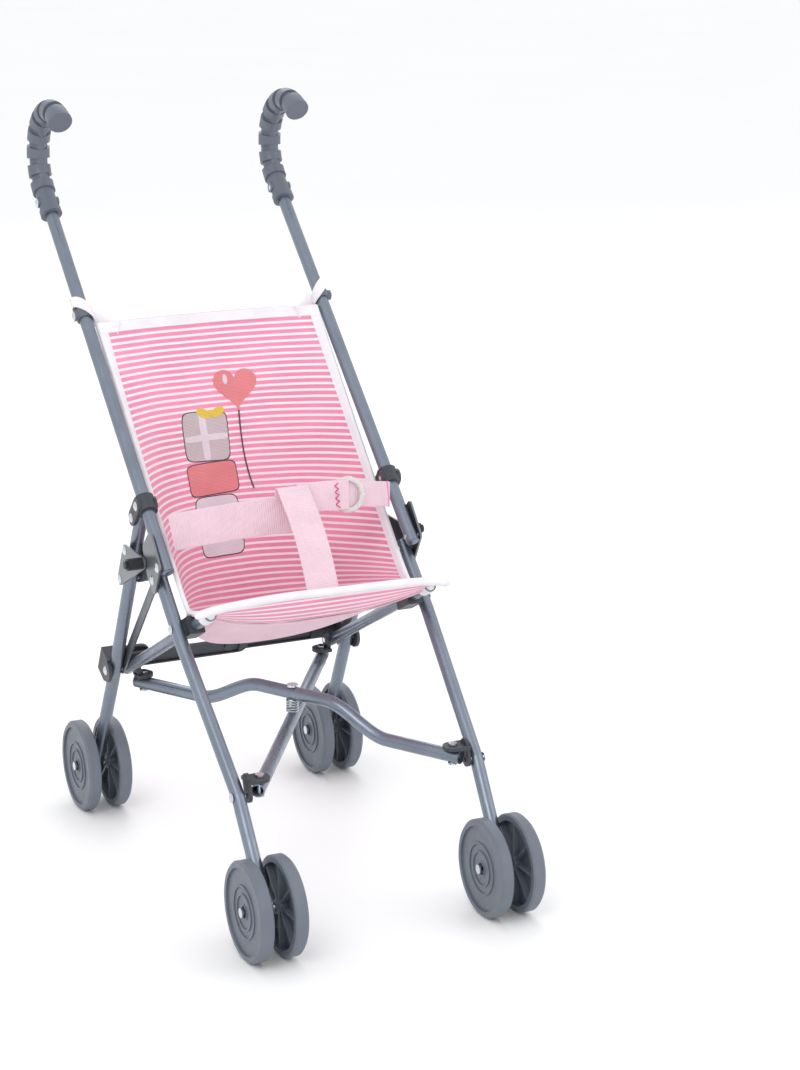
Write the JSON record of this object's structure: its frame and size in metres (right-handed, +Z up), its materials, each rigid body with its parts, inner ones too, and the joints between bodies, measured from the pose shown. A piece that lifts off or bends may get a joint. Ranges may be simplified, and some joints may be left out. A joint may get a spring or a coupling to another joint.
{
  "type": "doll stroller",
  "caption": "Folding doll stroller: crook handles, hammock seat with lap harness, X of cross tubes and twin wheels, all on a modelled umbrella fold.",
  "frame": {"origin": "on the floor, midway between the two sides and about midway between the axles", "axes": "+Z up, the stroller's front faces -Y, its left side is at +X"},
  "size_m": [0.2412, 0.4778, 0.557],
  "materials": {
    "tube_steel": "satin painted",
    "grip_plastic": "moulded satin",
    "bracket_plastic": "moulded satin",
    "sheet_steel": "pressed, satin",
    "rivet_steel": "bright",
    "spring_steel": "zinc plated",
    "wheel_plastic": "moulded satin",
    "black_sleeve": "matte",
    "seat_cloth": "striped woven",
    "webbing": "ribbed",
    "ring_plastic": "translucent white"
  },
  "bodies": {
    "seat": {"seat_sling": "seat_cloth", "waist_strap": "webbing", "crotch_strap": "webbing", "harness_ring": "ring_plastic"},
    "handle_left": {"handle_tube_left": "tube_steel", "grip_left": "grip_plastic", "strap_clip_left": "grip_plastic", "collar_left": "bracket_plastic", "handle_rivets_left": "rivet_steel"},
    "front_leg_left": {"channel_left": "sheet_steel", "front_leg_left": "tube_steel", "leg_rivets_left": "rivet_steel", "front_axle_left": "rivet_steel"},
    "rear_leg_left": {"rear_leg_left": "tube_steel", "rear_rivets_left": "rivet_steel", "rear_axle_left": "rivet_steel", "latch_plate_left": "sheet_steel", "latch_pin_left": "black_sleeve", "brace_left": "sheet_steel", "rear_bracket_left": "bracket_plastic"},
    "seat_rail_left": {"seat_rail_left": "tube_steel", "rail_clamp_left": "bracket_plastic"},
    "rear_clevis_left": {"rear_clevis_left": "bracket_plastic"},
    "crossbar_left": {"crossbar_left": "bracket_plastic"},
    "handle_right": {"handle_tube_right": "tube_steel", "grip_right": "grip_plastic", "strap_clip_right": "grip_plastic", "collar_right": "bracket_plastic", "handle_rivets_right": "rivet_steel"},
    "front_leg_right": {"channel_right": "sheet_steel", "front_leg_right": "tube_steel", "leg_rivets_right": "rivet_steel", "front_axle_right": "rivet_steel"},
    "rear_leg_right": {"rear_leg_right": "tube_steel", "rear_rivets_right": "rivet_steel", "rear_axle_right": "rivet_steel", "latch_plate_right": "sheet_steel", "latch_pin_right": "black_sleeve", "brace_right": "sheet_steel", "rear_bracket_right": "bracket_plastic"},
    "seat_rail_right": {"seat_rail_right": "tube_steel", "rail_clamp_right": "bracket_plastic"},
    "rear_clevis_right": {"rear_clevis_right": "bracket_plastic"},
    "crossbar_right": {"crossbar_right": "bracket_plastic"},
    "cross_tube_upper": {"cross_tube_upper": "tube_steel", "cross_bolts_upper": "rivet_steel", "centre_rivet": "rivet_steel", "coil_spring": "spring_steel"},
    "front_clevis_left": {"front_clevis_left": "bracket_plastic"},
    "cross_tube_lower": {"cross_tube_lower": "tube_steel", "cross_bolts_lower": "rivet_steel"},
    "front_clevis_right": {"front_clevis_right": "bracket_plastic"},
    "wheel_front_left_outer": {"wheel_front_left_outer": "wheel_plastic"},
    "wheel_front_left_inner": {"wheel_front_left_inner": "wheel_plastic"},
    "wheel_front_right_outer": {"wheel_front_right_outer": "wheel_plastic"},
    "wheel_front_right_inner": {"wheel_front_right_inner": "wheel_plastic"},
    "wheel_rear_left_outer": {"wheel_rear_left_outer": "wheel_plastic"},
    "wheel_rear_left_inner": {"wheel_rear_left_inner": "wheel_plastic"},
    "wheel_rear_right_outer": {"wheel_rear_right_outer": "wheel_plastic"},
    "wheel_rear_right_inner": {"wheel_rear_right_inner": "wheel_plastic"}
  },
  "joints": [
    {"name": "side_left_close", "type": "slide", "parent": "seat", "child": "handle_left", "axis": [-1, 0, 0], "range_m": [0, 0.05924]},
    {"name": "fold", "type": "hinge", "parent": "handle_left", "child": "front_leg_left", "pos_m": [0.0982, -0.0035, 0.2405], "axis": [-1, 0, 0], "range_deg": [0, 176], "deforming": ["seat_sling", "waist_strap", "crotch_strap", "harness_ring"]},
    {"name": "rear_leg_left_fold", "type": "hinge", "parent": "handle_left", "child": "rear_leg_left", "pos_m": [0.0982, 0.04646, 0.26669], "axis": [-1, 0, 0], "range_deg": [0, 74.7]},
    {"name": "seat_rail_left_turn", "type": "hinge", "parent": "rear_leg_left", "child": "seat_rail_left", "pos_m": [0.0864, 0.11922, 0.12757], "axis": [-1, 0, 0], "range_deg": [0, 22.28]},
    {"name": "rear_clevis_left_turn", "type": "hinge", "parent": "rear_leg_left", "child": "rear_clevis_left", "pos_m": [0.078, 0.11922, 0.12757], "axis": [-1, 0, 0], "range_deg": [0, 58.39]},
    {"name": "crossbar_left_lift", "type": "hinge", "parent": "rear_leg_left", "child": "crossbar_left", "pos_m": [0.0835, 0.12719, 0.13174], "axis": [0, -0.8862, -0.4634], "range_deg": [0, 73.11]},
    {"name": "side_right_close", "type": "slide", "parent": "seat", "child": "handle_right", "axis": [1, 0, 0], "range_m": [0, 0.05924]},
    {"name": "front_leg_right_fold", "type": "hinge", "parent": "handle_right", "child": "front_leg_right", "pos_m": [-0.0982, -0.0035, 0.2405], "axis": [-1, 0, 0], "range_deg": [0, 176]},
    {"name": "rear_leg_right_fold", "type": "hinge", "parent": "handle_right", "child": "rear_leg_right", "pos_m": [-0.0982, 0.04646, 0.26669], "axis": [-1, 0, 0], "range_deg": [0, 74.7]},
    {"name": "seat_rail_right_turn", "type": "hinge", "parent": "rear_leg_right", "child": "seat_rail_right", "pos_m": [-0.0864, 0.11922, 0.12757], "axis": [-1, 0, 0], "range_deg": [0, 22.28]},
    {"name": "rear_clevis_right_turn", "type": "hinge", "parent": "rear_leg_right", "child": "rear_clevis_right", "pos_m": [-0.078, 0.11922, 0.12757], "axis": [-1, 0, 0], "range_deg": [0, 58.39]},
    {"name": "crossbar_right_lift", "type": "hinge", "parent": "rear_leg_right", "child": "crossbar_right", "pos_m": [-0.0835, 0.12719, 0.13174], "axis": [0, 0.8862, 0.4634], "range_deg": [0, 73.11]},
    {"name": "cross_tube_upper_turn", "type": "hinge", "parent": "rear_clevis_right", "child": "cross_tube_upper", "pos_m": [-0.0755, 0.11842, 0.11407], "axis": [0, 0.0312, -0.9995], "range_deg": [0, 25.62]},
    {"name": "front_clevis_left_turn", "type": "hinge", "parent": "cross_tube_upper", "child": "front_clevis_left", "pos_m": [0.0755, -0.12119, 0.10659], "axis": [0, -0.0312, 0.9995], "range_deg": [0, 25.62]},
    {"name": "cross_tube_lower_turn", "type": "hinge", "parent": "rear_clevis_left", "child": "cross_tube_lower", "pos_m": [0.0755, 0.11842, 0.11407], "axis": [0, -0.0312, 0.9995], "range_deg": [0, 25.62]},
    {"name": "front_clevis_right_turn", "type": "hinge", "parent": "cross_tube_lower", "child": "front_clevis_right", "pos_m": [-0.0755, -0.12119, 0.10659], "axis": [0, 0.0312, -0.9995], "range_deg": [0, 25.62]},
    {"name": "wheel_front_left_outer_spin", "type": "hinge", "parent": "front_leg_left", "child": "wheel_front_left_outer", "pos_m": [0.1042, -0.1687, 0.036], "axis": [1, 0, 0], "continuous": true},
    {"name": "wheel_front_left_inner_spin", "type": "hinge", "parent": "front_leg_left", "child": "wheel_front_left_inner", "pos_m": [0.0786, -0.1687, 0.036], "axis": [1, 0, 0], "continuous": true},
    {"name": "wheel_front_right_outer_spin", "type": "hinge", "parent": "front_leg_right", "child": "wheel_front_right_outer", "pos_m": [-0.1042, -0.1687, 0.036], "axis": [1, 0, 0], "continuous": true},
    {"name": "wheel_front_right_inner_spin", "type": "hinge", "parent": "front_leg_right", "child": "wheel_front_right_inner", "pos_m": [-0.0786, -0.1687, 0.036], "axis": [1, 0, 0], "continuous": true},
    {"name": "wheel_rear_left_outer_spin", "type": "hinge", "parent": "rear_leg_left", "child": "wheel_rear_left_outer", "pos_m": [0.1129, 0.1671, 0.036], "axis": [1, 0, 0], "continuous": true},
    {"name": "wheel_rear_left_inner_spin", "type": "hinge", "parent": "rear_leg_left", "child": "wheel_rear_left_inner", "pos_m": [0.0873, 0.1671, 0.036], "axis": [1, 0, 0], "continuous": true},
    {"name": "wheel_rear_right_outer_spin", "type": "hinge", "parent": "rear_leg_right", "child": "wheel_rear_right_outer", "pos_m": [-0.1129, 0.1671, 0.036], "axis": [1, 0, 0], "continuous": true},
    {"name": "wheel_rear_right_inner_spin", "type": "hinge", "parent": "rear_leg_right", "child": "wheel_rear_right_inner", "pos_m": [-0.0873, 0.1671, 0.036], "axis": [1, 0, 0], "continuous": true}
  ],
  "couplings": [
    {"joint": "side_left_close", "follows": "fold", "m_per_rad": 0.019285},
    {"joint": "rear_leg_left_fold", "follows": "fold", "ratio": 0.42443},
    {"joint": "seat_rail_left_turn", "follows": "fold", "ratio": 0.12661},
    {"joint": "rear_clevis_left_turn", "follows": "fold", "ratio": 0.33175},
    {"joint": "crossbar_left_lift", "follows": "fold", "ratio": 0.4154},
    {"joint": "side_right_close", "follows": "fold", "m_per_rad": 0.019285},
    {"joint": "front_leg_right_fold", "follows": "fold", "ratio": 1},
    {"joint": "rear_leg_right_fold", "follows": "fold", "ratio": 0.42443},
    {"joint": "seat_rail_right_turn", "follows": "fold", "ratio": 0.12661},
    {"joint": "rear_clevis_right_turn", "follows": "fold", "ratio": 0.33175},
    {"joint": "crossbar_right_lift", "follows": "fold", "ratio": 0.4154},
    {"joint": "cross_tube_upper_turn", "follows": "fold", "ratio": 0.14555},
    {"joint": "front_clevis_left_turn", "follows": "fold", "ratio": 0.14555},
    {"joint": "cross_tube_lower_turn", "follows": "fold", "ratio": 0.14555},
    {"joint": "front_clevis_right_turn", "follows": "fold", "ratio": 0.14555}
  ]
}
